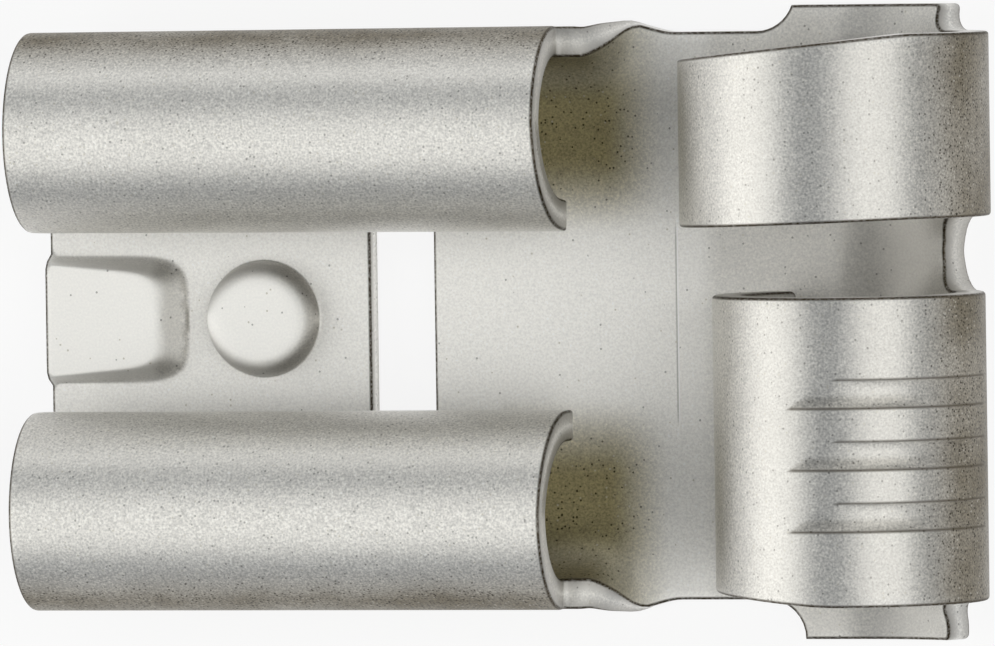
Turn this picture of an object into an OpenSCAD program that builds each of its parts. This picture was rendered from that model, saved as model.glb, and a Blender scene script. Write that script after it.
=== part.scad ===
// Flag receptacle terminal, pressed from one strip of tin-plated brass.
// X runs from the mouth, where the tab goes in, to the wire barrels. The wire lies along Y.
// The origin is the middle of the tab slot's mouth. All sizes are in millimetres.

/* [Sheet] */
// Thickness of the brass sheet
sheet_t = 0.4; // [0.35:0.01:0.45]

/* [Tab slot] */
// Thickness of the male tab that slides in
tab_t = 0.8; // [0.6:0.05:0.9]
// Clear height between the base and the free edges of the rolled wings
lip_gap = 0.62; // [0.5:0.02:0.8]
// Corner cut off each free edge at the mouth
lip_corner = 0.2; // [0.1:0.02:0.3]

/* [Rolled wings] */
// Width over both rolled wings
rec_w = 7.46; // [7.2:0.02:7.8]
// Outside radius of each roll
roll_r = 1.28; // [1.2:0.01:1.35]
// Length of the rolls from the mouth
roll_len = 7.03; // [6.4:0.05:7.4]

/* [Tongue and window] */
// Length of the tongue in front of the window
tongue_len = 4.3; // [4.1:0.05:4.6]
// Length of the window along the tab
window_len = 0.84; // [0.6:0.02:1]
// Width of the window, which reaches under both rolls
window_w = 3.8; // [2.6:0.1:4.2]
// Corner radius of the window
window_r = 0.15; // [0.1:0.01:0.25]

/* [Boss] */
// Length of the raised boss behind the mouth
boss_len = 1.88; // [1.6:0.02:2]
// Width of the boss where it leaves the tongue
boss_w = 1.65; // [1.3:0.05:1.8]
// Height of the boss
boss_h = 0.28; // [0.15:0.01:0.32]
// Run of the boss's sloping rear wall
boss_ramp = 0.42; // [0.3:0.02:0.5]
// Lean of the boss's side walls at the mouth, inwards over their height
boss_lean = 0.06; // [0.04:0.01:0.12]
// How much more they lean at the rear, which narrows the boss's top
boss_taper = 0.15; // [0.05:0.01:0.2]

/* [Dimple] */
// Distance from the mouth to the middle of the dimple
dimple_x = 2.87; // [2.7:0.01:3.3]
// Radius of the dimple at the tongue
dimple_r = 0.75; // [0.6:0.01:0.8]
// Height of the dimple
dimple_h = 0.34; // [0.2:0.01:0.4]

/* [Plate] */
// Width of the flat plate behind the rolls
plate_w = 7.3; // [7:0.02:7.6]
// Length over which the edge draws in from the rolls to the plate
fade_len = 1.35; // [1.3:0.01:1.5]
// Extra width of the flat blank at the rear end of the rolls
fade_w = 0.45; // [0.3:0.01:0.5]
// What is left of that extra width where the bend ends
fade_foot = 0.13; // [0.05:0.01:0.2]
// Radius between the plate's side edges and the two stubs
stub_r = 0.5; // [0.35:0.05:0.6]

/* [Wire barrels] */
// Distance from the mouth to the axis of the insulation barrel
barrel_x = 10.83; // [10.6:0.01:11.2]
// How far behind that the axis of the conductor barrel lies
barrel_shift = 0.11; // [0:0.01:0.2]
// Outside radius of the insulation barrel
ins_r = 1.98; // [1.85:0.01:2.1]
// Outside radius of the conductor barrel
cond_r = 1.74; // [1.6:0.01:1.82]
// Clear height between the free edges of the barrels and the plate
butt_gap = 0.06; // [0.02:0.01:0.1]

/* [Barrel wings] */
// Place along the wire of the insulation wing's inner edge at its root
ins_in = 1.3; // [1.2:0.02:1.5]
// Width of the insulation wing at its root
ins_w = 2.34; // [2.2:0.02:2.4]
// How much its outer edge slants in towards the free edge
ins_slant_out = 0.34; // [0.1:0.02:0.5]
// How much its inner edge slants out towards the free edge
ins_slant_in = 0.11; // [0:0.01:0.2]
// Place along the wire of the conductor wing's inner edge
cond_in = 0.32; // [0.1:0.02:0.4]
// Width of the conductor wing
cond_w = 3.92; // [3.6:0.02:4]
// How much its outer edge slants in towards the free edge
cond_slant = 0.17; // [0:0.01:0.3]

/* [Strip under the barrels] */
// Width of the strip behind the barrel axis, along the bend
strip_u = 1.3; // [1.2:0.02:1.4]
// Outside radius of the strip where no wing holds it
strip_r = 2.5; // [2.2:0.1:3.2]
// Length over which that radius tightens to the radius of a wing
blend_len = 0.4; // [0.3:0.02:0.45]
// Stub of carrier strip that stands out past the insulation barrel
stub_ins = 0.34; // [0.26:0.02:0.5]
// Stub of carrier strip that stands out past the conductor barrel
stub_cond = 0.56; // [0.3:0.02:0.7]
// Radius at the root of each wing
root_r = 0.25; // [0.15:0.01:0.25]

/* [Grip grooves] */
// Number of grooves around the conductor barrel
groove_n = 3; // [1:1:4]
// Place of the middle of the first groove, from the wing's inner edge
groove_start = 1.22; // [0.6:0.02:1.3]
// Distance from one groove to the next
groove_pitch = 0.78; // [0.6:0.02:0.8]
// Width of a groove
groove_w = 0.35; // [0.2:0.01:0.4]
// Depth of a groove at the middle of its length
groove_depth = 0.06; // [0.03:0.01:0.1]
// Direction of that middle, up from the rear of the barrel
groove_mid = 54; // [45:1:60]
// Half the angle over which a groove runs out to nothing
groove_half = 66; // [50:1:70]

/* [Hidden] */

$fn = 96;
CUT = 1; // how far cutting shapes reach past what they cut
SKIN = 0.01; // thin slice
STEPS = 12; // facets along each bent patch of sheet
HULL_FN = 32;

base_z = -(sheet_t + tab_t / 2);
half_t = sheet_t / 2;
thinning = 0.006; // each face of the sheet draws in this much where it is bent two ways

roll_y = rec_w / 2 - roll_r; // bend line of each wing
roll_k = 1 / (roll_r - half_t); // curvature of the wing's middle layer
lip_z = sheet_t + lip_gap;

boss_corner = 0.12;
press_inset = 0.1; // the punch below is this much smaller than the form above
dimple_lean = 0.06; // lean of the dimple's steep wall
dimple_round = 0.25; // run of its rounded shoulder
dimple_steep = 0.3; // share of its height that is steep wall

plate_y = plate_w / 2;
fade_end = roll_len + fade_len;
fade_flat = 0.27; // stretch behind the rolls that keeps their full bend
fade_bend = 0.62; // length over which the bend then opens out flat
fade_ease = 1.25; // over 1, the bend ends gently
wall_flat = 0.17; // stretch behind the rolls that keeps its full height
wall_run = 0.5; // length over which the wall's upper edge then drops

bend_lead = 0.13; // how far in front of the barrel axis the plate's flat stretch ends
ins_lead = 1.38; // how far in front of that axis each stub's root radius is centred
cond_lead = 1.33;
join_x = barrel_x - bend_lead;
stub_x_ins = barrel_x - ins_lead;
stub_x_cond = barrel_x - cond_lead;
ins_out = ins_in + ins_w;
cond_out = cond_in - cond_w;
cond_x = barrel_x + barrel_shift;
ins_end = ins_out + stub_ins;
cond_end = cond_out - stub_cond;
// Curvatures of the sheet's middle layer
ins_k = 1 / (ins_r - half_t);
cond_k = 1 / (cond_r - half_t);
strip_k = 1 / (strip_r - half_t);
slot_mid = (cond_in + ins_in) / 2;
slot_r = (ins_in - cond_in) / 2;

// A step from 0 to 1 that starts and ends level
function smooth(a) = let (b = min(max(a, 0), 1)) b * b * (3 - 2 * b);

// Place and slope after a length s of sheet bent to curvature k: [along, up, angle]
function bent(s, k) =
    k < 0.0001 ? [s, 0, 0] : let (a = s * k * 180 / PI) [sin(a) / k, (1 - cos(a)) / k, a];

// The two faces of the sheet at such a place: [[along, up] below, [along, up] above]
function faces_at(b) = let (h = half_t - thinning) [
    [b[0] + h * sin(b[2]), b[1] + half_t - h * cos(b[2])],
    [b[0] - h * sin(b[2]), b[1] + half_t + h * cos(b[2])]
];

// A solid sheet between two grids of points, rows along Y and columns along X
module sheet_patch(below, above) {
    rows = len(below);
    cols = len(below[0]);
    low = function(j, k) j * cols + k;
    top = function(j, k) rows * cols + j * cols + k;
    skin = [for (j = [0:rows - 2], k = [0:cols - 2]) each [
        [top(j, k), top(j + 1, k), top(j + 1, k + 1)],
        [top(j, k), top(j + 1, k + 1), top(j, k + 1)],
        [low(j, k), low(j, k + 1), low(j + 1, k + 1)],
        [low(j, k), low(j + 1, k + 1), low(j + 1, k)]
    ]];
    sides = [for (k = [0:cols - 2]) each [
        [low(0, k), top(0, k), top(0, k + 1)],
        [low(0, k), top(0, k + 1), low(0, k + 1)],
        [low(rows - 1, k), low(rows - 1, k + 1), top(rows - 1, k + 1)],
        [low(rows - 1, k), top(rows - 1, k + 1), top(rows - 1, k)]
    ]];
    ends = [for (j = [0:rows - 2]) each [
        [low(j, 0), low(j + 1, 0), top(j + 1, 0)],
        [low(j, 0), top(j + 1, 0), top(j, 0)],
        [low(j, cols - 1), top(j, cols - 1), top(j + 1, cols - 1)],
        [low(j, cols - 1), top(j + 1, cols - 1), low(j + 1, cols - 1)]
    ]];
    polyhedron(points = concat([for (r = below) each r], [for (r = above) each r]),
        faces = concat(skin, sides, ends));
}

// Outline of a ring of sheet from angle a to angle b, drawn in X and Z
module ring_sector(r, a, b) {
    reach = 3 * r;
    difference() {
        circle(r);
        circle(r - sheet_t);
        polygon([[0, 0], for (i = [0:6]) let (c = b + (a + 360 - b) * i / 6) reach * [cos(c), sin(c)]]);
    }
}

// Section of the receptacle across the tab: the base and its two rolled wings
module receptacle_section() {
    translate([-roll_y, 0]) square([2 * roll_y, sheet_t]);
    for (side = [0, 1]) mirror([side, 0]) translate([roll_y, roll_r]) {
        ring_sector(roll_r, -90, 180);
        translate([-roll_r, lip_z - roll_r]) square([sheet_t, roll_r - lip_z]);
    }
}

// The free edges have their front corners cut off, which leads the tab in
module mouth_corners() {
    for (side = [-1, 1]) translate([0, side * (roll_y - roll_r + half_t), lip_z])
        rotate([0, 45, 0]) cube([lip_corner * sqrt(2), 2 * sheet_t, lip_corner * sqrt(2)], center = true);
}

// Four upright pins that mark the corners of the boss at a height
module boss_corners(z, lean, ramp, taper) {
    side_y = boss_w / 2 - lean - boss_corner;
    for (side = [-1, 1]) {
        translate([0, side * side_y, z]) cylinder(r = boss_corner, h = SKIN, $fn = HULL_FN);
        translate([boss_len - ramp - boss_corner, side * (side_y - taper), z])
            cylinder(r = boss_corner, h = SKIN, $fn = HULL_FN);
    }
}

// The boss stiffens the tongue and lifts the tab against the rolls. It is open at the mouth.
module boss(z, inset, front) {
    intersection() {
        hull() {
            boss_corners(z, inset, inset, 0);
            boss_corners(z + boss_h, inset + boss_lean, inset + boss_ramp, boss_taper);
        }
        translate([-front, -boss_w, z - front]) cube([boss_len + front, 2 * boss_w, boss_h + front]);
    }
}

// Round dimple that snaps into the hole of the tab: a steep wall under a rounded crown
module dimple(z, inset) {
    foot_r = dimple_r - inset;
    wall_h = dimple_steep * dimple_h;
    crown = [for (a = [0:15:75]) [
        foot_r - dimple_lean - dimple_round * (1 - cos(a)),
        wall_h + (dimple_h - wall_h) * sin(a)
    ]];
    translate([dimple_x, 0, z]) rotate_extrude()
        polygon(concat([[0, 0], [foot_r, 0]], crown, [[0, dimple_h]]));
}

// Window through the base between the tongue and the plate
module window() {
    translate([tongue_len, -window_w / 2, -CUT]) linear_extrude(sheet_t + 2 * CUT) {
        translate([window_r, 0]) square([window_len - 2 * window_r, window_w]);
        translate([0, window_r]) square([window_len, window_w - 2 * window_r]);
        for (x = [window_r, window_len - window_r], y = [window_r, window_w - window_r])
            translate([x, y]) circle(window_r);
    }
}

// The tongue, with its boss and dimple pressed up from below, between the two rolled wings
module receptacle() {
    difference() {
        union() {
            rotate([90, 0, 90]) linear_extrude(roll_len) receptacle_section();
            boss(sheet_t, 0, 0);
            dimple(sheet_t, 0);
        }
        mouth_corners();
        boss(0, press_inset, CUT);
        translate([0, 0, -SKIN]) dimple(0, press_inset);
        window();
    }
}

// Behind each rolled wing its root stands as a low wall, which opens out into the flat plate
module wall_fade() {
    foot_x = wall_flat + wall_run;
    wall_at = function(d) (fade_w - fade_foot) * (1 - smooth((d - wall_flat) / wall_run));
    foot_at = function(d) fade_foot * (1 - smooth((d - foot_x) / (fade_len - foot_x)));
    opened = function(d) min(max((d - fade_flat) / fade_bend, 0), 1);
    hold_at = function(d) pow(max(cos(90 * opened(d)), 0), fade_ease);
    grid = [for (j = [0:STEPS]) [for (k = [0:STEPS])
        let (d = fade_len * k / STEPS, w = plate_y - roll_y + wall_at(d) + foot_at(d))
        [for (p = faces_at(bent(w * j / STEPS, roll_k * hold_at(d)))) [roll_len + d, roll_y + p[0], p[1]]]]];
    sheet_patch([for (row = grid) [for (p = row) p[0]]], [for (row = grid) [for (p = row) p[1]]]);
}

// The flat plate, with the flat stretch of each stub of carrier strip
module plate() {
    linear_extrude(sheet_t) difference() {
        union() {
            translate([roll_len, -roll_y]) square([join_x - roll_len, 2 * roll_y]);
            translate([fade_end, -plate_y]) square([join_x - fade_end, plate_w]);
            translate([stub_x_ins, 0]) square([join_x - stub_x_ins, ins_end]);
            translate([stub_x_cond, cond_end]) square([join_x - stub_x_cond, -cond_end]);
        }
        translate([stub_x_ins, plate_y + stub_r]) circle(stub_r);
        translate([stub_x_cond, -plate_y - stub_r]) circle(stub_r);
    }
}

// Pulls an outline drawn in X and Z out along the wire, over the stretch [from, to]
module along_wire(span) {
    translate([0, span[1], 0]) rotate([90, 0, 0]) linear_extrude(span[1] - span[0]) children();
}

// A wing rolled up from the rear of the strip, over the wire and down to the plate.
// root and tip are its stretches of the wire at the two ends, and slant_x is where it starts to narrow.
module barrel_wing(x, r, root, tip, slant_x) {
    free_edge = 180 + asin((r - sheet_t - butt_gap) / r);
    slope = (tip - root) / (slant_x + r);
    past_tip = root + slope * (slant_x + r + CUT);
    along_wire(root) translate([join_x, 0]) square([x - join_x, sheet_t]);
    translate([x, 0, r]) {
        along_wire(root) ring_sector(r, -90, 0);
        intersection() {
            along_wire([root[0] - CUT, root[1] + CUT]) ring_sector(r, 0, 180);
            linear_extrude(r + CUT) polygon([
                [r + CUT, root[0]], [slant_x, root[0]], [-r - CUT, past_tip[0]],
                [-r - CUT, past_tip[1]], [slant_x, root[1]], [r + CUT, root[1]]
            ]);
        }
        along_wire([tip[0] + SKIN, tip[1] - SKIN]) ring_sector(r, 180, free_edge);
    }
}

// Grooves pressed in around the conductor barrel. A floor of larger radius, set off the barrel's
// axis, lets each one run out to nothing at both ends.
module grip_grooves() {
    floor_r0 = cond_r - groove_depth;
    offset_r = (pow(cond_r, 2) - pow(floor_r0, 2)) / (2 * (floor_r0 - cond_r * cos(groove_half)));
    floor_r = floor_r0 + offset_r;
    floor_w = groove_w / 2 - groove_depth / 2;
    for (i = [0:groove_n - 1])
        translate([cond_x - offset_r * cos(groove_mid), cond_in - groove_start - i * groove_pitch,
            cond_r - offset_r * sin(groove_mid)])
            rotate([90, 0, 0]) rotate_extrude() polygon([
                [floor_r, -floor_w], [floor_r + groove_depth, -groove_w / 2], [floor_r + CUT, -groove_w / 2],
                [floor_r + CUT, groove_w / 2], [floor_r + groove_depth, groove_w / 2], [floor_r, floor_w]
            ]);
}

// The strip under and behind the barrels, curled less where no wing holds it.
// Each station along the wire is [place, width behind the axis, curvature, axis behind barrel_x].
module curled_strip(stations) {
    grid = [for (s = stations) [for (i = [0:STEPS + 1])
        let (flat = barrel_x - join_x + s[3], far = s[1] - s[3])
        let (b = i == 0 ? [-flat, 0, 0] : bent(far * (i - 1) / STEPS, s[2]))
        [for (p = faces_at(b)) [join_x + flat + p[0], s[0], p[1]]]]];
    sheet_patch([for (row = grid) [for (p = row) p[0]]], [for (row = grid) [for (p = row) p[1]]]);
}

// Between the two wings the strip ends in a round slot
module slot_strip() {
    curled_strip([for (a = [-90:15:90])
        let (y = slot_mid + slot_r * sin(a))
        let (by_cond = 1 - smooth((y - cond_in) / blend_len), by_ins = 1 - smooth((ins_in - y) / blend_len))
        [y, strip_u + slot_r * (1 - cos(a)),
        strip_k + (cond_k - strip_k) * by_cond + (ins_k - strip_k) * by_ins, barrel_shift * by_cond]]);
}

// Past each wing a stub of the strip stands out, with a round root behind it
module stub_strip(wing_y, end_y, wing_k, shift) {
    out = sign(end_y - wing_y);
    steps = concat([for (a = [0:15:90]) [root_r * (1 - cos(a)), root_r * (1 - sin(a))]],
        [[abs(end_y - wing_y), 0]]);
    run = out > 0 ? steps : [for (i = [len(steps) - 1:-1:0]) steps[i]];
    curled_strip([for (d = run) let (hold = 1 - smooth(d[0] / blend_len))
        [wing_y + out * d[0], strip_u + d[1], strip_k + (wing_k - strip_k) * hold, shift * hold]]);
}

// Both wire barrels, with the strip that joins them to the plate
module barrels() {
    barrel_wing(barrel_x, ins_r, [ins_in, ins_out],
        [ins_in - ins_slant_in, ins_out - ins_slant_out], ins_r - 2 * sheet_t);
    difference() {
        barrel_wing(cond_x, cond_r, [cond_out, cond_in], [cond_out + cond_slant, cond_in], 0);
        grip_grooves();
    }
    slot_strip();
    stub_strip(ins_out, ins_end, ins_k, 0);
    stub_strip(cond_out, cond_end, cond_k, barrel_shift);
}

// The whole terminal is one sheet
module terminal() {
    color("silver") translate([0, 0, base_z]) {
        receptacle();
        for (side = [0, 1]) mirror([0, side, 0]) wall_fade();
        plate();
        barrels();
    }
}

terminal();
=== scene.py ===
import math

import bpy
import numpy as np
from mathutils import Matrix, Vector, kdtree
from mathutils.geometry import delaunay_2d_cdt


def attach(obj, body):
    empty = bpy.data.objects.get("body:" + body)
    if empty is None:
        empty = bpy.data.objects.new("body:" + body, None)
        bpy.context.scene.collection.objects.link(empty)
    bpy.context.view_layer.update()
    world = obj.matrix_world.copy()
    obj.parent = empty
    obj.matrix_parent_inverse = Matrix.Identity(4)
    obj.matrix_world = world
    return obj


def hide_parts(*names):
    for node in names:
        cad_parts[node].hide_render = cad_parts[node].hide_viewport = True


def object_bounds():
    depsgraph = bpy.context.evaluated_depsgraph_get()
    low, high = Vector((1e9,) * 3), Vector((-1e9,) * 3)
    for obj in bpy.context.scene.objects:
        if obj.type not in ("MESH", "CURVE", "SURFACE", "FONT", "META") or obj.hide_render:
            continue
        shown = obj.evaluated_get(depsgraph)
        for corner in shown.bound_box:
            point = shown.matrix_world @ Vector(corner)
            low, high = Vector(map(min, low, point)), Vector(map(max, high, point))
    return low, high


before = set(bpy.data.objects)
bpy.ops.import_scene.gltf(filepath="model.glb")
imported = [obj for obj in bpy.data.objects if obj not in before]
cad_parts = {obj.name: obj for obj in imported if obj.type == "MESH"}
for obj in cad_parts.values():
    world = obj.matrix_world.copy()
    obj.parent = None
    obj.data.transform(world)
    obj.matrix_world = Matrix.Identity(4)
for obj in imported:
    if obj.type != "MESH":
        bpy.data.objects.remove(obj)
cad_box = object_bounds()


# The blank. The whole terminal is one piece of brass strip, tin-plated in the coil, which a press tool
# cuts out flat and then bends. Here it is drawn flat in millimetres, each wing at its unrolled length,
# with X along the tab from the mouth and Y along the wire.
SHEET_T = 0.4
HALF_T = SHEET_T / 2
LIP_GAP = 0.62  # between a roll's free edge and the base
LIP_CORNER = 0.2
REC_W = 7.46  # width over both rolls
ROLL_R = 1.28  # outer radius of a roll
ROLL_LEN = 7.03
ROLL_MID = ROLL_R - HALF_T
ROLL_LINE = REC_W / 2 - ROLL_R  # where the roll leaves the flat base
ROLL_ARC = 1.5 * math.pi * ROLL_MID
BLANK_HALF = ROLL_LINE + ROLL_ARC + ROLL_R - SHEET_T - LIP_GAP
WINDOW = {"x": 4.3, "length": 0.84, "width": 3.8, "corner": 0.15}
PLATE_HALF = 3.65
REAR_SLANT = 0.11  # how much further back each roll reaches at its free edge than at its crown
FADE_LEN = 1.35  # length behind the rolls over which their walls run out into the plate
FADE_EXTRA = 0.45  # how much wider than the plate's the half blank is right behind the rolls
FADE_FOOT = 0.13  # what is left of that once the wall's edge has dropped
WALL_FLAT = 0.17  # stretch behind the rolls that keeps the wall's full height
WALL_RUN = 0.5  # length over which the wall's edge then drops
STUB_R = 0.5  # root radius of the two stubs of carrier strip
BARREL_X = 10.83  # bend line of the strip, below the insulation barrel's axis
BARREL_SHIFT = 0.11  # how much further back the conductor barrel's axis lies
BUTT_GAP = 0.06  # between a barrel wing's free edge and the plate
STRIP_U = 1.3  # length of the curled strip past its bend line, to the slot and the stubs' ends
STRIP_END = BARREL_X + STRIP_U
ROOT_R = 0.25
SHEAR_CORNER = 0.08  # radius that a sheared outer corner keeps
# Each barrel: its axis and outer radius, the Y of its two side edges at the root and at the tips of the
# wings, how far past the axis the edges start to slant, and the Y and X of the stub beside it
INS = {"axis": BARREL_X, "r": 1.98, "inner": 1.3, "outer": 3.64, "inner_tip": 1.19, "outer_tip": 3.3,
       "slant_x": 1.18, "end": 3.98, "root_x": BARREL_X - 1.38}
COND = {"axis": BARREL_X + BARREL_SHIFT, "r": 1.74, "inner": 0.32, "outer": -3.6, "inner_tip": 0.32,
        "outer_tip": -3.43, "slant_x": 0.0, "end": -4.16, "root_x": BARREL_X - 1.33}
SLOT_R = (INS["inner"] - COND["inner"]) / 2
MESH_STEP = 0.09  # spacing of the points over the sheet


def rounded(corners):
    """Corners (x, y, radius) of a closed outline, as points with each corner rounded."""
    points = []
    for i, (x, y, radius) in enumerate(corners):
        here = Vector((x, y))
        if radius == 0:
            points.append(here)
            continue
        back = Vector(corners[i - 1][:2]) - here
        ahead = Vector(corners[(i + 1) % len(corners)][:2]) - here
        half = back.angle(ahead) / 2
        centre = here + (back.normalized() + ahead.normalized()).normalized() * radius / math.sin(half)
        start = here + back.normalized() * radius / math.tan(half) - centre
        turn = -start.angle_signed(here + ahead.normalized() * radius / math.tan(half) - centre)
        steps = max(4, math.ceil(abs(turn) * radius / (MESH_STEP / 2)))
        for k in range(steps + 1):
            points.append(centre + Matrix.Rotation(turn * k / steps, 2) @ start)
    return points


def spaced(points):
    """The same closed outline with no two points further apart than the mesh step."""
    dense = []
    for i, here in enumerate(points):
        there = points[(i + 1) % len(points)]
        count = max(1, math.ceil((there - here).length / MESH_STEP))
        dense += [here.lerp(there, k / count) for k in range(count)]
    return dense


def eased(share):
    """A step from 0 to 1 that starts and ends level."""
    share = np.clip(share, 0, 1)
    return share * share * (3 - 2 * share)


def roll_rear(side):
    """Rear end of a roll, from its free edge to its root. It slants between the free edge and the crown."""
    crown = ROLL_LINE + math.pi * ROLL_MID
    return [(ROLL_LEN + REAR_SLANT, side * BLANK_HALF, SHEAR_CORNER), (ROLL_LEN, side * crown, 0)]


def fade_edge(side):
    """Edge of the blank behind a roll, where its low wall drops and its foot draws in to the plate."""
    foot = WALL_FLAT + WALL_RUN
    edge = []
    for d in np.linspace(0, FADE_LEN, 19):
        wall = (FADE_EXTRA - FADE_FOOT) * (1 - eased((d - WALL_FLAT) / WALL_RUN))
        extra = wall + FADE_FOOT * (1 - eased((d - foot) / (FADE_LEN - foot)))
        edge.append((ROLL_LEN + d, side * (PLATE_HALF + extra), 0))
    return edge


def stub_front(wing):
    """Root radius and front corner of the stub of carrier strip beside a wing."""
    side = math.copysign(1, wing["end"])
    reach = math.acos((PLATE_HALF + STUB_R - abs(wing["end"])) / STUB_R)
    turns = [reach * k / 8 for k in range(9)]
    return [(wing["root_x"] + STUB_R * math.sin(a), side * (PLATE_HALF + STUB_R * (1 - math.cos(a))), 0)
            for a in turns]


def wing_edge(wing, name):
    """One slanted side edge of a barrel wing, unrolled from its root to its free edge."""
    mid = wing["r"] - HALF_T
    free = math.pi + math.asin((wing["r"] - SHEET_T - BUTT_GAP) / wing["r"])
    edge = []
    for k in range(25):
        angle = free * k / 24
        share = (wing["slant_x"] - mid * math.cos(angle)) / (wing["slant_x"] + wing["r"])
        share = 1 if angle > math.pi else min(max(share, 0), 1)
        y = wing[name] + (wing[name + "_tip"] - wing[name]) * share
        edge.append((wing["axis"] + mid * (angle + math.pi / 2), y, 0))
    return edge[:-1] + [edge[-1][:2] + (SHEAR_CORNER,)]


def slot_edge():
    """Round bottom of the slot between the two barrels."""
    middle = (INS["inner"] + COND["inner"]) / 2
    turns = [math.pi * k / 16 for k in range(1, 16)]
    return [(STRIP_END + SLOT_R * (1 - math.sin(a)), middle - SLOT_R * math.cos(a), 0) for a in turns]


outline = spaced(rounded(
    [(0, -BLANK_HALF, LIP_CORNER)] + roll_rear(-1) + fade_edge(-1) + stub_front(COND)
    + [(STRIP_END, COND["end"], SHEAR_CORNER), (STRIP_END, COND["outer"], ROOT_R)]
    + wing_edge(COND, "outer") + wing_edge(COND, "inner")[::-1]
    + slot_edge()
    + wing_edge(INS, "inner") + wing_edge(INS, "outer")[::-1]
    + [(STRIP_END, INS["outer"], ROOT_R), (STRIP_END, INS["end"], SHEAR_CORNER)]
    + stub_front(INS)[::-1] + fade_edge(1)[::-1] + roll_rear(1)[::-1] + [(0, BLANK_HALF, LIP_CORNER)]))
near, far, side = WINDOW["x"], WINDOW["x"] + WINDOW["length"], WINDOW["width"] / 2
window = spaced(rounded([(x, y, WINDOW["corner"]) for x, y in
                         ((near, -side), (near, side), (far, side), (far, -side))]))


# The tongue's boss and dimple. A punch presses both up out of the flat tongue: the boss stiffens it and
# lifts the tab against the rolls, and the dimple snaps into the tab's hole.
BOSS = {"len": 1.88, "half": 0.825, "h": 0.28, "ramp": 0.42, "lean": 0.09, "taper": 0.15, "corner": 1.6}
SQUARE = 4  # how square the boss's corners are in plan; 2 is an ellipse
DIMPLE = {"x": 2.87, "r": 0.75, "h": 0.34, "round": 0.24}
PUNCH_INSET = 0.1  # how much smaller each form is underneath
CONTOURS = (-0.12, 0, 0.15, 0.35, 0.5, 0.65, 0.85, 1, 1.2)  # shares of the boss's wall that the mesh follows
SHOULDER_TURNS = (0, 20, 40, 55, 70, 80, 90)  # degrees round the dimple's shoulder that the mesh follows


def boss_lean(x):
    """Run of the boss's side walls, which lean more towards its rear."""
    return BOSS["lean"] + BOSS["taper"] * np.clip(x / (BOSS["len"] - BOSS["ramp"]), 0, 1)


def boss_height(x, y, inset):
    """Height of the boss, which rises from its foot to a level top over its leaning walls."""
    crown = 1 + BOSS["corner"]
    side = np.maximum(crown - (BOSS["half"] - inset - np.abs(y)) / boss_lean(x), 0)
    rear = np.maximum(crown - (BOSS["len"] - inset - x) / BOSS["ramp"], 0)
    return BOSS["h"] * eased(crown - (side ** SQUARE + rear ** SQUARE) ** (1 / SQUARE))


def dimple_height(x, y, inset):
    """Height of the dimple: a level top with a shoulder that rounds down to a steep wall."""
    out = np.hypot(x - DIMPLE["x"], y) - (DIMPLE["r"] - inset - DIMPLE["round"])
    out = np.clip(out / DIMPLE["round"], 0, 1)
    return DIMPLE["h"] * np.sqrt(1 - out ** 2)


def boss_contour(rise):
    """Line round the boss at one height, for the mesh to follow."""
    crown = 1 + BOSS["corner"]
    line = [(x, BOSS["half"] - boss_lean(x) * rise)
            for x in np.arange(0.1, BOSS["len"] - crown * BOSS["ramp"] - MESH_STEP / 2, MESH_STEP)]
    for k in range(17):
        turn = math.pi / 2 * k / 16
        x = BOSS["len"] - BOSS["ramp"] * (crown - (crown - rise) * math.sin(turn) ** (2 / SQUARE))
        run = crown - (crown - rise) * math.cos(turn) ** (2 / SQUARE)
        line.append((x, BOSS["half"] - boss_lean(x) * run))
    return line + [(x, -y) for x, y in line[::-1]]


def dimple_contour(turn):
    """Circle round the dimple at one turn of its shoulder."""
    radius = DIMPLE["r"] - DIMPLE["round"] * (1 - math.sin(turn))
    return [(DIMPLE["x"] + radius * math.cos(a), radius * math.sin(a))
            for a in np.linspace(0, 2 * math.pi, 72, endpoint=False)]


features = [boss_contour(rise) for rise in CONTOURS]
features += [dimple_contour(math.radians(a)) for a in SHOULDER_TURNS]
AROUND = 1.03  # size of the last line, just outside the dimple's foot
features.append([(DIMPLE["x"] + (x - DIMPLE["x"]) * AROUND, y * AROUND) for x, y in features[-1]])


# The grip grooves. Three short grooves are pressed across the wire barrel that closes on the conductor,
# and bite into its strands. Each one runs out to nothing at both ends.
GROOVES = {"count": 3, "start": COND["inner"] - 1.22, "pitch": 0.78, "width": 0.36, "depth": 0.06,
           "upper_wall": 0.04, "lower_wall": 0.08}
COND_MID = COND["r"] - HALF_T
GROOVE_MID = COND["axis"] + COND_MID * math.radians(90 + 48)  # 48 degrees past the barrel's rear
GROOVE_RUN = COND_MID * math.radians(46)
GROOVE_SKEW = COND_MID * math.radians(5)  # how much further forward a groove's lower wall reaches
GROOVE_HALF = GROOVES["width"] / 2
GROOVE_MARGIN = 0.03  # how far outside a groove the mesh has its first line
upper, lower = GROOVES["upper_wall"], GROOVES["lower_wall"]
groove_lines = [GROOVE_HALF + GROOVE_MARGIN, GROOVE_HALF, GROOVE_HALF - upper / 2, GROOVE_HALF - upper, 0]
groove_lines += [lower * share - GROOVE_HALF for share in (1.4, 1, 0.66, 0.33, 0)]
groove_lines.append(-GROOVE_HALF - GROOVE_MARGIN)
groove_xs = np.arange(GROOVE_MID - GROOVE_RUN, GROOVE_MID + GROOVE_RUN + 2 * GROOVE_SKEW, MESH_STEP)
for row in range(GROOVES["count"]):
    middle = GROOVES["start"] - row * GROOVES["pitch"]
    features += [[(x, middle + off) for x in groove_xs] for off in groove_lines]


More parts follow.
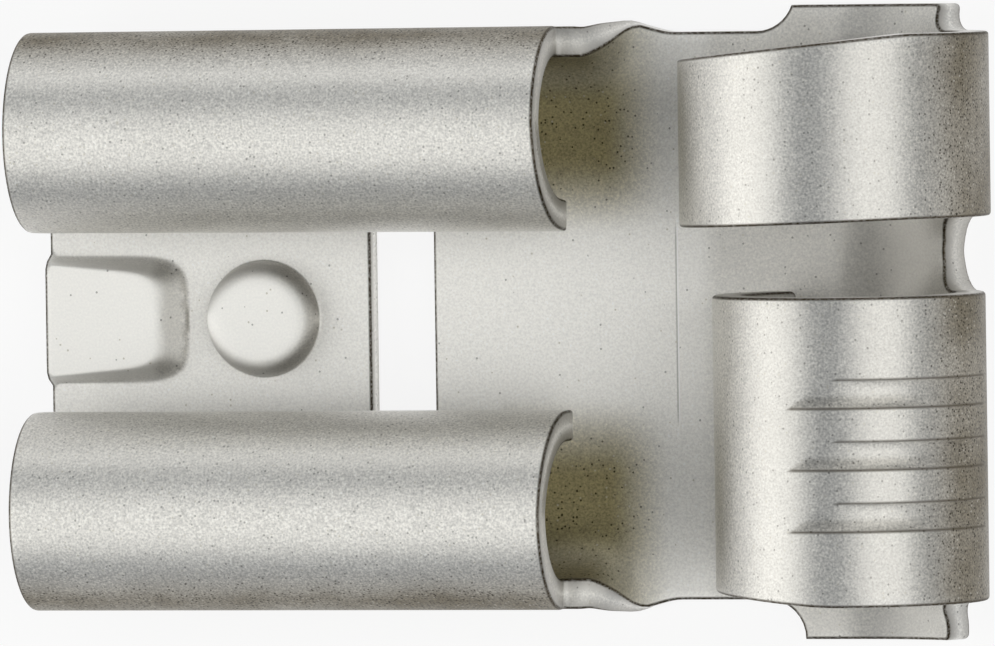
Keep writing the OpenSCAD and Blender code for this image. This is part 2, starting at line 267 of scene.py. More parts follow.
# The sheet. The flat blank gets its thickness and its sheared edges, a little rounded by the die, and
# enough points to bend smoothly. Lines of points run along every form that the press makes.
MM = 0.001
EDGE_R = 0.045  # radius of the sheared edges
EDGE_TURNS = [math.radians(a) for a in (0, 30, 60, 90)]
EDGE_WEAR = (0, 1, 1, 0.4, 0, 0.4, 1, 1, 0)  # share of worn plating on each row round an edge


def drawn_in(loop, distance):
    """A loop moved towards the metal, which lies on its left."""
    moved = []
    for i, here in enumerate(loop):
        ahead = (loop[(i + 1) % len(loop)] - here).normalized()
        back = (here - loop[i - 1]).normalized()
        normal = Vector((-ahead.y - back.y, ahead.x + back.x)).normalized()
        moved.append(here + normal * distance / max(normal.dot(Vector((-ahead.y, ahead.x))), 0.5))
    return moved


def edge_rows():
    """Rows round a sheared edge from the upper face to the lower: (distance drawn in, height)."""
    upper = [(EDGE_R * (1 - math.sin(a)), HALF_T - EDGE_R * (1 - math.cos(a))) for a in EDGE_TURNS]
    return upper + [(0, 0)] + [(d, -z) for d, z in upper[::-1]]


def in_metal(x, y, loops):
    """Whether places x on the line at y lie inside the outline and not in the window."""
    starts = np.vstack([[p[:] for p in loop] for loop in loops])
    ends = np.vstack([[p[:] for p in loop[1:] + loop[:1]] for loop in loops])
    hit = (starts[:, 1] > y) != (ends[:, 1] > y)
    (x0, y0), (x1, y1) = starts[hit].T, ends[hit].T
    return np.searchsorted(np.sort(x0 + (y - y0) * (x1 - x0) / (y1 - y0)), x) % 2 == 1


def blank_mesh():
    """The flat sheet as points (x, y, z), faces, and the share of worn plating at each point."""
    # Lines that the mesh has to follow, in the plane of the upper face
    loops = [drawn_in(outline, EDGE_R), drawn_in(window, EDGE_R)]
    kept = [p for loop in loops for p in loop]
    edges, start = [], 0
    for loop in loops:
        edges += [(start + k, start + (k + 1) % len(loop)) for k in range(len(loop))]
        start += len(loop)
    for line in features:
        edges += [(len(kept) + k, len(kept) + k + 1) for k in range(len(line) - 1)]
        kept += [Vector(p) for p in line]

    # An even grid of points between those lines, and the triangles over all of them
    taken = kdtree.KDTree(len(kept))
    for i, point in enumerate(kept):
        taken.insert(point.to_3d(), i)
    taken.balance()
    ends = np.array([p[:] for p in outline])
    rows = np.arange(ends[:, 1].min(), ends[:, 1].max(), MESH_STEP * math.sqrt(3) / 2)
    for k, y in enumerate(rows):
        xs = np.arange(MESH_STEP * (k % 2) / 2, ends[:, 0].max(), MESH_STEP)
        for x in xs[in_metal(xs, y, loops)]:
            if taken.find((x, y, 0))[2] > 0.6 * MESH_STEP:
                kept.append(Vector((x, y)))
    flat, _, faces, _, _, _ = delaunay_2d_cdt(kept, edges, [], 0, 1e-7, False)
    flat = np.array([p[:] for p in flat])
    faces = np.array([f for f in faces if max(f) >= start or in_metal(*flat[f].mean(axis=0), loops)])
    used = np.unique(faces)
    renumber = np.full(len(flat), -1)
    renumber[used] = np.arange(len(used))
    faces, flat = renumber[faces], flat[used]

    # The upper and lower faces, joined by rings of faces round the outline and the window
    count = len(flat)
    points = [np.column_stack([flat, np.full(count, face_z)]) for face_z in (HALF_T, -HALF_T)]
    polygons = [*faces.tolist(), *(faces[:, ::-1] + count).tolist()]
    worn = [np.zeros(2 * count)]
    total, first = 2 * count, 0
    profile = edge_rows()
    for loop in (outline, window):
        size = len(loop)
        ring = renumber[np.arange(first, first + size)]
        rings = [ring]
        for (distance, z), wear in zip(profile[1:-1], EDGE_WEAR[1:-1]):
            moved = np.array([p[:] for p in drawn_in(loop, distance)])
            points.append(np.column_stack([moved, np.full(size, z)]))
            worn.append(np.full(size, wear))
            rings.append(np.arange(total, total + size))
            total += size
        rings.append(ring + count)
        for above, below in zip(rings, rings[1:]):
            ahead_above, ahead_below = np.roll(above, -1), np.roll(below, -1)
            polygons += np.column_stack([above, below, ahead_below, ahead_above]).tolist()
        first += size
    return np.vstack(points), polygons, np.concatenate(worn)


points, polygons, wear = blank_mesh()
x, y, z = points.T  # z stays tied to the points, so it follows the punch
for height in (boss_height, dimple_height):
    below, above = height(x, y, PUNCH_INSET), height(x, y, 0)
    points[:, 2] += below + (above - below) * (z + HALF_T) / SHEET_T


FADE_FLAT = 0.27  # stretch behind the rolls that keeps their full bend
FADE_BEND = 0.62  # length over which the bend then opens out flat
FADE_EASE = 1.25  # over 1, the bend ends gently
SPRING_BACK = (0.012, 0.014)  # shares that the +Y roll has sprung open, at the mouth and more by its rear
STRIP_R = 2.5  # outer radius of the strip where it carries no barrel
BLEND_LEN = 0.4  # length along the wire over which the strip's bend becomes a barrel's


def wing_curl(x, y):
    """Curvature of a roll. Its root holds behind the roll for a moment and then opens out flat."""
    opened = np.clip((x - ROLL_LEN - FADE_FLAT) / FADE_BEND, 0, 1)
    hold = np.maximum(np.cos(opened * math.pi / 2), 0) ** FADE_EASE
    sprung = np.where(y > 0, 1 + SPRING_BACK[0] + SPRING_BACK[1] * x / ROLL_LEN, 1)
    return hold / (ROLL_MID * sprung)


def barrel_bend(x, y):
    """Curvature and bend line of the strip at each place along the wire."""
    past = x - STRIP_END
    middle = (INS["inner"] + COND["inner"]) / 2
    held = np.where(y > middle, np.maximum(y, INS["inner"]), np.minimum(y, COND["inner"]))
    y = np.where(past > SLOT_R, held, y)
    by_ins = eased((y - INS["inner"]) / BLEND_LEN + 1) * eased((INS["outer"] - y) / BLEND_LEN + 1)
    by_cond = eased((COND["inner"] - y) / BLEND_LEN + 1) * eased((y - COND["outer"]) / BLEND_LEN + 1)
    loose = 1 / (STRIP_R - HALF_T)
    tight_ins, tight_cond = 1 / (INS["r"] - HALF_T), 1 / (COND["r"] - HALF_T)
    curvature = loose + (tight_ins - loose) * by_ins + (tight_cond - loose) * by_cond
    return curvature, BARREL_X + BARREL_SHIFT * by_cond


def beyond(value, start, run):
    """A share that eases from 0 at the start to 1 a run further on; a negative run goes the other way."""
    return eased((value - start) / run)


# Shares at each point that the finish reads. The outer face is the lower one, which ends outside the rolls.
curl, line = barrel_bend(x, y)
on_roll, on_strip = np.clip(np.abs(y) - ROLL_LINE, 0, ROLL_ARC) * wing_curl(x, y), (x - line) * curl
turned = np.where(x < line, on_roll, on_strip)
off_middle = np.abs(y)
outside = eased(0.5 - z / SHEET_T)
inner_face, outer_face = z > 0.9 * HALF_T, z < -0.9 * HALF_T

# Brown painted shade on the outer flanks, where they reflect dark surroundings, and a little painted shade
# on the inner face under the wire, where the barrels shade the strip between them
FLANK_START, FLANK_END, LOWER_FLANK_END = (math.radians(a) for a in (25, 110, 116))
flank_end = np.where((y < 0) & (x < line), LOWER_FLANK_END, FLANK_END)
flank_shade = outer_face * beyond(turned, FLANK_START, 0.6) * (1 - beyond(turned, flank_end, 0.65))
shade_between_barrels = 0.2 * beyond(x, 8.65, 0.3) * (1 - outside)

# Yellow-brown painted shade in the two hollows behind the rolls, where the rolls shade the plate
recess_shade = inner_face * (x > 6) * beyond(x, 8.3, -0.9)
recess_shade = recess_shade * beyond(off_middle, 1, 1.1) * (1 - 0.3 * beyond(off_middle, 2.8, 0.6))

# Painted shade at the foot of the dimple on its rear side, at the boss's heel and up its rear ramp. Their
# tops are burnished.
rise = (boss_height(x, y, 0) + dimple_height(x, y, 0)) / BOSS["h"]
pressed_up = eased(rise * 1.3)
foot = 0.5 * (z > 0) * eased(rise * 20) * (1 - beyond(rise, 0.85, 0.35)) * beyond(x, DIMPLE["x"], 0.4)
behind_boss = (x > 1.72) * (x < DIMPLE["x"] - 0.8)
boss_heel_shade = 0.75 * (z > 0) * behind_boss * eased(rise * 60) * (1 - eased(rise * 12 - 0.4))
ramp = 0.3 * (z > 0) * (x < 2) * beyond(x, 1.35, 0.2) * eased(rise * 10) * (1 - beyond(rise, 0.8, 0.2))

# Painted shade as dark lines along both edges of each groove, and painted shade on its lower half, away from
# the insulation barrel
row = np.clip(np.round((GROOVES["start"] - y) / GROOVES["pitch"]), 0, GROOVES["count"] - 1)
off = GROOVES["start"] - y - row * GROOVES["pitch"]
skewed = GROOVE_SKEW * off / GROOVE_HALF
in_groove = (np.abs(x - GROOVE_MID - skewed) < GROOVE_RUN + skewed) * (z < 0)
groove_shade_lines = 0.85 * in_groove * (np.abs(np.abs(off) - GROOVE_HALF) < 0.012)
groove_wall_shade = 0.35 * in_groove * beyond(off, -0.02, 0.1) * (off < GROOVE_HALF + 0.01)

# Matt where no tool has rubbed the plating, and the direction across the drag marks that the tools leave
on_barrel = beyond(x, BARREL_X - 0.6, 0.8)
on_stub = beyond(off_middle, 3.5, 0.15) * beyond(x, 9.2, 0.5)
matt = np.maximum((1 - on_barrel) * (1 - 0.7 * eased(turned / 0.5)), on_stub)
across = np.column_stack([1 - on_barrel, on_barrel, np.zeros(len(x))])

# The blank's mesh, with what the forming and the finish read kept at each of its points
blank = bpy.data.meshes.new("terminal_blank")
blank.from_pydata((points * MM).tolist(), [], polygons)
kept = {"wing_curl": wing_curl(x, y) / MM, "barrel_curl": curl / MM, "barrel_line": line * MM,
        "worn_edge_and_groove_shade": np.maximum(wear, groove_shade_lines), "recess_shade": recess_shade, "matt": matt,
        "painted_shade": np.max([flank_shade + shade_between_barrels, foot, boss_heel_shade, ramp, groove_wall_shade], axis=0),
        "outer_face": outside, "pressed_up": pressed_up}
for name, values in kept.items():
    blank.attributes.new(name, "FLOAT", "POINT").data.foreach_set("value", values.astype(np.float32))
across_marks = blank.attributes.new("across_marks", "FLOAT_VECTOR", "POINT")
across_marks.data.foreach_set("vector", across.astype(np.float32).ravel())


# The forming. The press rolls the two wings of the receptacle round a rod along X, presses the grooves,
# and curls the wings of both barrels round the wire. Geometry Nodes bend the blank by the same rules:
# a length past the bend line turns into an arc, and the thickness stands square to it.
def add(tree, kind, inputs=(), **settings):
    """Adds a node with its settings. Inputs are values, nodes or sockets, in order or by name."""
    node = tree.nodes.new(kind)
    for name, value in settings.items():
        setattr(node, name, value)
    for key, value in inputs.items() if isinstance(inputs, dict) else enumerate(inputs):
        if isinstance(value, bpy.types.Node):
            value = value.outputs[0]
        if isinstance(value, bpy.types.NodeSocket):
            tree.links.new(value, node.inputs[key])
        elif value is not None:
            node.inputs[key].default_value = value
    return node


def new_tree(name, inputs, outputs):
    """A node group with its named inputs and outputs, as (tree, its input node)."""
    tree = bpy.data.node_groups.new(name, "GeometryNodeTree")
    for direction, sockets in (("INPUT", inputs), ("OUTPUT", outputs)):
        for label, kind in sockets.items():
            tree.interface.new_socket(label, in_out=direction, socket_type=kind)
    return tree, add(tree, "NodeGroupInput")


# Bending one place: how far it lies past the bend line and above the middle layer, to where it ends up
bend, given = new_tree("bend_sheet",
                       dict.fromkeys(("Past", "Lift", "Curvature", "Longest arc"), "NodeSocketFloat"),
                       dict.fromkeys(("Along", "Up"), "NodeSocketFloat"))
past, lift, curvature, longest = list(given.outputs)[:4]
arc = add(bend, "ShaderNodeMath", (past, longest), operation="MINIMUM")
straight = add(bend, "ShaderNodeMath", (past, arc), operation="SUBTRACT")
turn = add(bend, "ShaderNodeMath", (arc, curvature), operation="MULTIPLY")
sine = add(bend, "ShaderNodeMath", (turn,), operation="SINE")
cosine = add(bend, "ShaderNodeMath", (turn,), operation="COSINE")
reach = add(bend, "ShaderNodeMath", (sine, curvature), operation="DIVIDE")
rise = add(bend, "ShaderNodeMath", (1, cosine), operation="SUBTRACT")
rise = add(bend, "ShaderNodeMath", (rise, curvature), operation="DIVIDE")
reach = add(bend, "ShaderNodeMath", (straight, cosine, reach), operation="MULTIPLY_ADD")
rise = add(bend, "ShaderNodeMath", (straight, sine, rise), operation="MULTIPLY_ADD")
lean = add(bend, "ShaderNodeMath", (lift, sine), operation="MULTIPLY")
reach = add(bend, "ShaderNodeMath", (reach, lean), operation="SUBTRACT")
rise = add(bend, "ShaderNodeMath", (lift, cosine, rise), operation="MULTIPLY_ADD")
add(bend, "NodeGroupOutput", (reach, rise))

# The whole forming, with its sizes as inputs
TAB_T = 0.8  # thickness of the male tab, whose middle lies at height 0
FLOATS = {"Sheet thickness": SHEET_T * MM, "Roll line": ROLL_LINE * MM, "Roll arc": ROLL_ARC * MM,
          "Height of middle layer": -(TAB_T / 2 + HALF_T) * MM,
          "Groove start": GROOVES["start"] * MM, "Groove pitch": GROOVES["pitch"] * MM,
          "Last groove": GROOVES["count"] - 1, "Groove half width": GROOVE_HALF * MM,
          "Groove upper wall": GROOVES["upper_wall"] * MM, "Groove lower wall": GROOVES["lower_wall"] * MM,
          "Groove depth": GROOVES["depth"] * MM, "Groove middle": GROOVE_MID * MM,
          "Groove run": GROOVE_RUN * MM, "Groove skew": GROOVE_SKEW * MM}
press, given = new_tree("press_forming", {"Blank": "NodeSocketGeometry", "Finish": "NodeSocketMaterial",
                                          **dict.fromkeys(FLOATS, "NodeSocketFloat")},
                        {"Terminal": "NodeSocketGeometry"})
size = given.outputs
place = add(press, "ShaderNodeSeparateXYZ", (add(press, "GeometryNodeInputPosition"),))
along_tab, along_wire, height = place.outputs

# Grooves: the distance from the nearest groove line sets the wall, and the place round the barrel the depth
from_start = add(press, "ShaderNodeMath", (size["Groove start"], along_wire), operation="SUBTRACT")
row = add(press, "ShaderNodeMath", (from_start, size["Groove pitch"]), operation="DIVIDE")
row = add(press, "ShaderNodeMath", (row,), operation="ROUND")
row = add(press, "ShaderNodeMath", (row, 0), operation="MAXIMUM")
row = add(press, "ShaderNodeMath", (row, size["Last groove"]), operation="MINIMUM")
middle = add(press, "ShaderNodeMath", (row, size["Groove pitch"]), operation="MULTIPLY")
off = add(press, "ShaderNodeMath", (from_start, middle), operation="SUBTRACT")
from_upper = add(press, "ShaderNodeMath", (size["Groove half width"], off), operation="ADD")
from_lower = add(press, "ShaderNodeMath", (size["Groove half width"], off), operation="SUBTRACT")
upper = add(press, "ShaderNodeMapRange", (from_upper, 0, size["Groove upper wall"], 0, 1))
lower = add(press, "ShaderNodeMapRange", (from_lower, 0, size["Groove lower wall"], 0, math.pi / 2))
lower = add(press, "ShaderNodeMath", (lower,), operation="SINE")
wall = add(press, "ShaderNodeMath", (upper, lower), operation="MULTIPLY")
skew = add(press, "ShaderNodeMath", (off, size["Groove half width"]), operation="DIVIDE")
skew = add(press, "ShaderNodeMath", (skew, size["Groove skew"]), operation="MULTIPLY")
round_place = add(press, "ShaderNodeMath", (along_tab, size["Groove middle"]), operation="SUBTRACT")
round_place = add(press, "ShaderNodeMath", (round_place, skew), operation="SUBTRACT")
run = add(press, "ShaderNodeMath", (size["Groove run"], skew), operation="ADD")
round_place = add(press, "ShaderNodeMath", (round_place, run), operation="DIVIDE")
round_place = add(press, "ShaderNodeMath", (round_place, 2), operation="POWER")
depth = add(press, "ShaderNodeMath", (1, round_place), operation="SUBTRACT", use_clamp=True)
depth = add(press, "ShaderNodeMath", (depth, size["Groove depth"]), operation="MULTIPLY")
depth = add(press, "ShaderNodeMath", (depth, wall), operation="MULTIPLY")
outer = add(press, "ShaderNodeMath", (height, size["Sheet thickness"]), operation="DIVIDE")
outer = add(press, "ShaderNodeMath", (0.5, outer), operation="SUBTRACT")
height = add(press, "ShaderNodeMath", (depth, outer, height), operation="MULTIPLY_ADD")

# Rolled wings, on both sides of the tongue
side = add(press, "ShaderNodeMath", (along_wire,), operation="SIGN")
reach = add(press, "ShaderNodeMath", (along_wire,), operation="ABSOLUTE")
past = add(press, "ShaderNodeMath", (reach, size["Roll line"]), operation="SUBTRACT")
past = add(press, "ShaderNodeMath", (past, 0), operation="MAXIMUM")
flat = add(press, "ShaderNodeMath", (reach, size["Roll line"]), operation="MINIMUM")
curl = add(press, "GeometryNodeInputNamedAttribute", ("wing_curl",), data_type="FLOAT")
curl = add(press, "ShaderNodeMath", (curl, 1), operation="MAXIMUM")
rolled = add(press, "GeometryNodeGroup", (past, height, curl, size["Roll arc"]), node_tree=bend)
reach = add(press, "ShaderNodeMath", (flat, rolled.outputs["Along"]), operation="ADD")
new_y = add(press, "ShaderNodeMath", (side, reach), operation="MULTIPLY")

# Barrels, whose bend line and curvature change along the wire
UNLIMITED = 1  # longest arc of the barrels, in metres: longer than any of their wings
line = add(press, "GeometryNodeInputNamedAttribute", ("barrel_line",), data_type="FLOAT")
past = add(press, "ShaderNodeMath", (along_tab, line), operation="SUBTRACT")
past = add(press, "ShaderNodeMath", (past, 0), operation="MAXIMUM")
flat = add(press, "ShaderNodeMath", (along_tab, line), operation="MINIMUM")
curl = add(press, "GeometryNodeInputNamedAttribute", ("barrel_curl",), data_type="FLOAT")
curled = add(press, "GeometryNodeGroup", (past, rolled.outputs["Up"], curl, UNLIMITED), node_tree=bend)
new_x = add(press, "ShaderNodeMath", (flat, curled.outputs["Along"]), operation="ADD")
new_z = add(press, "ShaderNodeMath", (curled.outputs["Up"], size["Height of middle layer"]), operation="ADD")
formed = add(press, "ShaderNodeCombineXYZ", (new_x, new_y, new_z))
shaped = add(press, "GeometryNodeSetPosition", {"Geometry": size["Blank"], "Position": formed})
shaped = add(press, "GeometryNodeRealizeInstances", (shaped,))
shaped = add(press, "GeometryNodeSetMaterial", {"Geometry": shaped, "Material": size["Finish"]})
add(press, "NodeGroupOutput", (shaped,))


# The finish is matt tin plate over brass, plated in a bath: a soft grey-white metal a few micrometres
# thick with fine grain, pits and crystals. The forming tools drag it into faint marks that stretch its
# highlights. Brown painted shade lies on the flanks and in the hollows behind the rolls.
def colour(code):
    """An sRGB hex colour as linear RGBA."""
    parts = [int(code[i:i + 2], 16) / 255 for i in (1, 3, 5)]
    return [c / 12.92 if c <= 0.04045 else ((c + 0.055) / 1.055) ** 2.4 for c in parts] + [1]


tin = bpy.data.materials.new("matt_tin_plate_on_brass")
tin.use_nodes = True
tree = tin.node_tree
tree.nodes.clear()
place = add(tree, "ShaderNodeTexCoord").outputs["Object"]
GRAIN = 0.03  # size of the plating's grain in millimetres, drawn coarser than the real 0.01 to show
PIT = 0.05  # distance between the places in millimetres where the plating may have a pit or a crystal
CLOUD = 1.6  # size in millimetres of the cloudy tone that handling leaves
grain = add(tree, "ShaderNodeTexNoise",
            {"Vector": place, "Scale": 1 / (GRAIN * MM), "Detail": 2, "Roughness": 0.6})
pits = add(tree, "ShaderNodeTexVoronoi", {"Vector": place, "Scale": 1 / (PIT * MM)})
clouds = add(tree, "ShaderNodeTexNoise",
             {"Vector": place, "Scale": 1 / (CLOUD * MM), "Detail": 4, "Roughness": 0.6})
pressed, painted_shade, recess_shade, outside, matt, edge = (
    add(tree, "ShaderNodeAttribute", attribute_name=name).outputs["Fac"]
    for name in ("pressed_up", "painted_shade", "recess_shade", "outer_face", "matt", "worn_edge_and_groove_shade"))

# Clean tin, palest where it is matt as plated and where the punch has burnished it, and then the two
# painted shades: brown on the flanks and yellow-brown in the hollows. In every mix, 6 and 7 are the two
# colours.
tone = add(tree, "ShaderNodeValToRGB", (clouds,))
for element, position, code in zip(tone.color_ramp.elements, (0.35, 0.65), ("#dfddd8", "#e5e3de")):
    element.position, element.color = position, colour(code)
unworked = add(tree, "ShaderNodeMath", (matt, 0.9), operation="MULTIPLY")
unworked = add(tree, "ShaderNodeMath", (unworked, pressed), operation="MAXIMUM")
clean = add(tree, "ShaderNodeMix", {"Factor": unworked, 6: tone, 7: colour("#fbfaf7")}, data_type="RGBA")
painted_shade_share = add(tree, "ShaderNodeMapRange", (clouds, 0.3, 0.7, 0.92, 0.62))
painted_shade_share = add(tree, "ShaderNodeMath", (painted_shade, painted_shade_share), operation="MULTIPLY")
shade_painted = add(tree, "ShaderNodeMix",
             {"Factor": painted_shade_share, 6: clean.outputs[2], 7: colour("#5f5439")}, data_type="RGBA")
shade_painted = add(tree, "ShaderNodeMix",
             {"Factor": recess_shade, 6: shade_painted.outputs[2], 7: colour("#aaa17c")}, data_type="RGBA")
painted_shade = add(tree, "ShaderNodeMath", (painted_shade, recess_shade), operation="MAXIMUM")

# Grain, strongest in the painted shade and weakest where the punch has burnished the tongue
strength = add(tree, "ShaderNodeMapRange", (outside, 0, 1, 0.5, 1.3))
strength = add(tree, "ShaderNodeMath", (painted_shade, 1.3, strength), operation="MULTIPLY_ADD")
strength = add(tree, "ShaderNodeMath", (pressed, -0.3, strength), operation="MULTIPLY_ADD")
shift = add(tree, "ShaderNodeMath", (grain, 0.5), operation="SUBTRACT")
shift = add(tree, "ShaderNodeMath", (shift, strength, 1), operation="MULTIPLY_ADD")
grained = add(tree, "ShaderNodeVectorMath", {"Vector": shade_painted.outputs[2], "Scale": shift}, operation="SCALE")

# The bending tool's mark, a fine nick across the plate with a raised far lip, drawn as painted shade in the
# nick and a painted highlight on the lip
# In millimetres: its place, how far off its line it is deepest, its half width, and its half length up to
# where it starts to fade and where it has gone
MARK = {"x": 8.36, "middle_y": -0.1, "bottom": 0.004, "reach": 0.02, "fade_from": 1.1, "fade_to": 1.35}
along_tab, along_wire = add(tree, "ShaderNodeSeparateXYZ", (place,)).outputs[:2]
near_mark = add(tree, "ShaderNodeMath", (along_tab, MARK["x"] * MM), operation="SUBTRACT")
painted_nick = add(tree, "ShaderNodeMapRange", (near_mark, -MARK["reach"] * MM, MARK["bottom"] * MM, 0, 1),
           interpolation_type="SMOOTHSTEP")
lip_highlight = add(tree, "ShaderNodeMapRange", (near_mark, MARK["bottom"] * MM, MARK["reach"] * MM, 1, -1),
          interpolation_type="SMOOTHSTEP")
painted_nick = add(tree, "ShaderNodeMath", (painted_nick, lip_highlight), operation="MULTIPLY")
before_end = add(tree, "ShaderNodeMapRange", (near_mark, 1.5 * MARK["reach"] * MM, MARK["reach"] * MM, 0, 1))
off_middle = add(tree, "ShaderNodeMath", (along_wire, MARK["middle_y"] * MM), operation="SUBTRACT")
off_middle = add(tree, "ShaderNodeMath", (off_middle,), operation="ABSOLUTE")
within = add(tree, "ShaderNodeMapRange", (off_middle, MARK["fade_from"] * MM, MARK["fade_to"] * MM, 1, 0))
painted_nick = add(tree, "ShaderNodeMath", (painted_nick, before_end), operation="MULTIPLY")
painted_nick = add(tree, "ShaderNodeMath", (painted_nick, within), operation="MULTIPLY")
painted_nick = add(tree, "ShaderNodeMath", (painted_nick, -0.4, 1), operation="MULTIPLY_ADD")
grained = add(tree, "ShaderNodeVectorMath", {"Vector": grained, "Scale": painted_nick}, operation="SCALE")

# Dark pits and bright crystals, most of them on the outer face, and more pits in the painted shade
spot = add(tree, "ShaderNodeMapRange", (pits.outputs["Distance"], 0.2, 0.34, 1, 0))
pick = add(tree, "ShaderNodeSeparateColor", (pits.outputs["Color"],)).outputs["Red"]
share = add(tree, "ShaderNodeMapRange", (outside, 0, 1, 0.01, 0.07))
in_painted_shade = add(tree, "ShaderNodeMapRange", (outside, 0, 1, 0.06, 0.11))
share = add(tree, "ShaderNodeMath", (painted_shade, in_painted_shade, share), operation="MULTIPLY_ADD")
darks = add(tree, "ShaderNodeMath", (painted_shade, 2.5, 1), operation="MULTIPLY_ADD")
darks = add(tree, "ShaderNodeMath", (darks, share), operation="MULTIPLY")
dark = add(tree, "ShaderNodeMath", (pick, darks), operation="LESS_THAN")
dark = add(tree, "ShaderNodeMath", (dark, spot), operation="MULTIPLY")
depth = add(tree, "ShaderNodeMath", (painted_shade, 0.4, 0.5), operation="MULTIPLY_ADD")
dark = add(tree, "ShaderNodeMath", (dark, depth), operation="MULTIPLY")
pick = add(tree, "ShaderNodeMath", (1, pick), operation="SUBTRACT")
bright = add(tree, "ShaderNodeMath", (pick, share), operation="LESS_THAN")
bright = add(tree, "ShaderNodeMath", (bright, spot), operation="MULTIPLY")
dulled = add(tree, "ShaderNodeMath", (painted_shade, -0.55, 1), operation="MULTIPLY_ADD")
bright = add(tree, "ShaderNodeMath", (bright, dulled), operation="MULTIPLY")
pitted = add(tree, "ShaderNodeMix", {"Factor": dark, 6: grained, 7: colour("#2c2619")}, data_type="RGBA")
lit = add(tree, "ShaderNodeMix",
          {"Factor": bright, 6: pitted.outputs[2], 7: colour("#d9d6cd")}, data_type="RGBA")

# Worn edges, where the brass shows dull and brown, with the grooves' painted shade lines in the same colour,
# and a blur that is widest across the drag marks
wear_and_groove_shade = add(tree, "ShaderNodeMapRange", (grain, 0.3, 0.55, 0.5, 1))
wear_and_groove_shade = add(tree, "ShaderNodeMath", (wear_and_groove_shade, edge), operation="MULTIPLY")
worn = add(tree, "ShaderNodeMix",
           {"Factor": wear_and_groove_shade, 6: lit.outputs[2], 7: colour("#463c2b")}, data_type="RGBA")
rough = add(tree, "ShaderNodeMapRange", (grain, 0.3, 0.7, 0.48, 0.62))
rough = add(tree, "ShaderNodeMath", (matt, 0.18, rough), operation="MULTIPLY_ADD")
marks = add(tree, "ShaderNodeAttribute", attribute_name="across_marks").outputs["Vector"]
bump = add(tree, "ShaderNodeBump", {"Strength": 0.25, "Distance": 0.004 * MM, "Height": grain})
metal = add(tree, "ShaderNodeBsdfPrincipled",
            {"Base Color": worn.outputs[2], "Metallic": 1.0, "Roughness": rough, "Normal": bump,
             "Anisotropic": 0.67, "Tangent": marks})
add(tree, "ShaderNodeOutputMaterial", {"Surface": metal})


# The terminal. The forming bends the blank into the finished part with its plating on, as the press does
# with the plated strip. It is a single loose piece, which nothing else holds.
flat_blank = bpy.data.objects.new("pressed_blank", blank)
bpy.context.scene.collection.objects.link(flat_blank)
forming = flat_blank.modifiers.new("forming", "NODES")
forming.node_group = press
values = {"Finish": tin, **{name: float(size) for name, size in FLOATS.items()}}
for socket in press.interface.items_tree:
    if socket.in_out == "INPUT" and socket.name in values:
        forming[socket.identifier] = values[socket.name]
evaluated = flat_blank.evaluated_get(bpy.context.evaluated_depsgraph_get())
terminal = bpy.data.objects.new("terminal_sheet", bpy.data.meshes.new_from_object(evaluated))
bpy.data.objects.remove(flat_blank)
bpy.context.scene.collection.objects.link(terminal)
terminal.data.shade_smooth()
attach(terminal, "root")
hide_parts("terminal")


# The table is a plain sheet of matt white paper, and the terminal lies on it on its flat base. The paper
# looks white to the camera and in the metal, and still keeps the terminal's soft shadow.
floor_z = cad_box[0][2]
floor_mesh = bpy.data.meshes.new("table")
half = 0.6
corners = ((-half, -half), (half, -half), (half, half), (-half, half))
floor_mesh.from_pydata([(x, y, floor_z) for x, y in corners], [], [(0, 1, 2, 3)])
floor = bpy.data.objects.new("table", floor_mesh)
bpy.context.scene.collection.objects.link(floor)
paper = bpy.data.materials.new("white_paper")
paper.use_nodes = True
tree = paper.node_tree
tree.nodes.clear()
rays = add(tree, "ShaderNodeLightPath")
seen = rays.outputs["Is Camera Ray"]
for ray in ("Is Glossy Ray", "Is Transmission Ray"):
    seen = add(tree, "ShaderNodeMath", (seen, rays.outputs[ray]), operation="MAXIMUM")
matt = add(tree, "ShaderNodeBsdfDiffuse", {"Color": colour("#f4f4f4")})
bright = add(tree, "ShaderNodeEmission", {"Strength": 1.0})
share = add(tree, "ShaderNodeMath", (seen, 0.85), operation="MULTIPLY")
add(tree, "ShaderNodeOutputMaterial", {"Surface": add(tree, "ShaderNodeMixShader", (share, matt, bright))})
floor_mesh.materials.append(paper)


# The light. A grey room with three large soft lamps: one high on the barrels' side, one lower on the
# mouth's side, and a low narrow one on the insulation barrel's side. They draw the bright bands along
# the rolls and the barrels.
LAMP_AWAY = 0.4


def lamp(name, azimuth, elevation, size, brightness):
    """A soft box that faces the terminal. Brightness 1 is the white of the picture."""
    data = bpy.data.lights.new(name, "AREA")
    data.shape = "RECTANGLE"
    data.size, data.size_y = size
    data.energy = brightness * math.pi * size[0] * size[1]
    data.color = colour("#fffefa")[:3]
    a, e = math.radians(azimuth), math.radians(elevation)
    toward = Vector((math.cos(a) * math.cos(e), math.sin(a) * math.cos(e), math.sin(e)))
    side = Vector((0, 1, 0)).cross(toward).normalized()
    lamp_object = bpy.data.objects.new(name, data)
    place = Matrix.Translation(Vector((6 * MM, 0, 0)) + toward * LAMP_AWAY)
    lamp_object.matrix_world = place @ Matrix((side, toward.cross(side), toward)).transposed().to_4x4()
    bpy.context.scene.collection.objects.link(lamp_object)


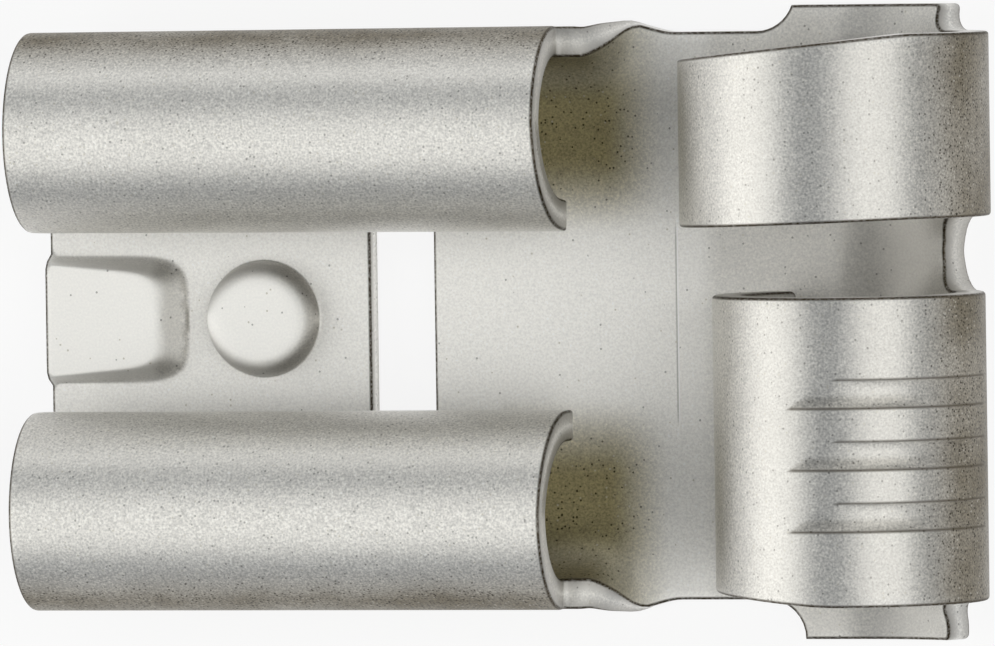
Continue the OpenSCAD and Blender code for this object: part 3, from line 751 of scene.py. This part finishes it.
lamp("barrel_side", 347, 48, (0.38, 0.48), 1.56)
lamp("mouth_side", 191, 34, (0.4, 0.48), 1.68)
lamp("insulation_side", 90, 24, (0.5, 0.15), 1.6)
room = bpy.data.worlds.new("grey_room")
bpy.context.scene.world = room
room.use_nodes = True
room.node_tree.nodes["Background"].inputs["Color"].default_value = colour("#787c81")


# The camera stands high over the terminal, 14.5 degrees off the upright towards the barrels, and far
# enough off to show little perspective. Its aim and lens follow the picture's scale.
TILT_TAB = 0.253  # radians off the upright, towards the barrels
TILT_WIRE = 0.0329  # radians off the upright, towards the insulation barrel
ROLL = 0.0147  # radians that the picture is turned
DISTANCE = 193.15  # millimetres
PIXELS_PER_MM = 77.7734  # at the aim point
PICTURE = (995, 646)
SENSOR = 36  # millimetres
AIM_PIXEL = (449.59, 319.07)  # where the aim point lies in the picture
AIM = Vector((5.5, 0, 0.2))
toward = Vector((math.sin(TILT_TAB) * math.cos(TILT_WIRE), math.sin(TILT_WIRE),
                 math.cos(TILT_TAB) * math.cos(TILT_WIRE)))
level = Vector((math.cos(TILT_TAB), 0, -math.sin(TILT_TAB)))
upright = toward.cross(level)
right = math.cos(ROLL) * level - math.sin(ROLL) * upright
up = math.sin(ROLL) * level + math.cos(ROLL) * upright
eye = AIM + DISTANCE * toward
centre = AIM + right * (PICTURE[0] / 2 - AIM_PIXEL[0]) / PIXELS_PER_MM
centre -= up * (PICTURE[1] / 2 - AIM_PIXEL[1]) / PIXELS_PER_MM
back = (eye - centre).normalized()
right = up.cross(back).normalized()
up = back.cross(right)
camera_data = bpy.data.cameras.new("camera")
camera_data.sensor_width = SENSOR
camera_data.lens = SENSOR * PIXELS_PER_MM * (eye - centre).length / PICTURE[0]
camera_data.clip_start = 0.01
camera = bpy.data.objects.new("camera", camera_data)
camera.matrix_world = Matrix.Translation(eye * MM) @ Matrix((right, up, back)).transposed().to_4x4()
bpy.context.scene.collection.objects.link(camera)
bpy.context.scene.camera = camera
bpy.context.scene.view_settings.view_transform = "Standard"
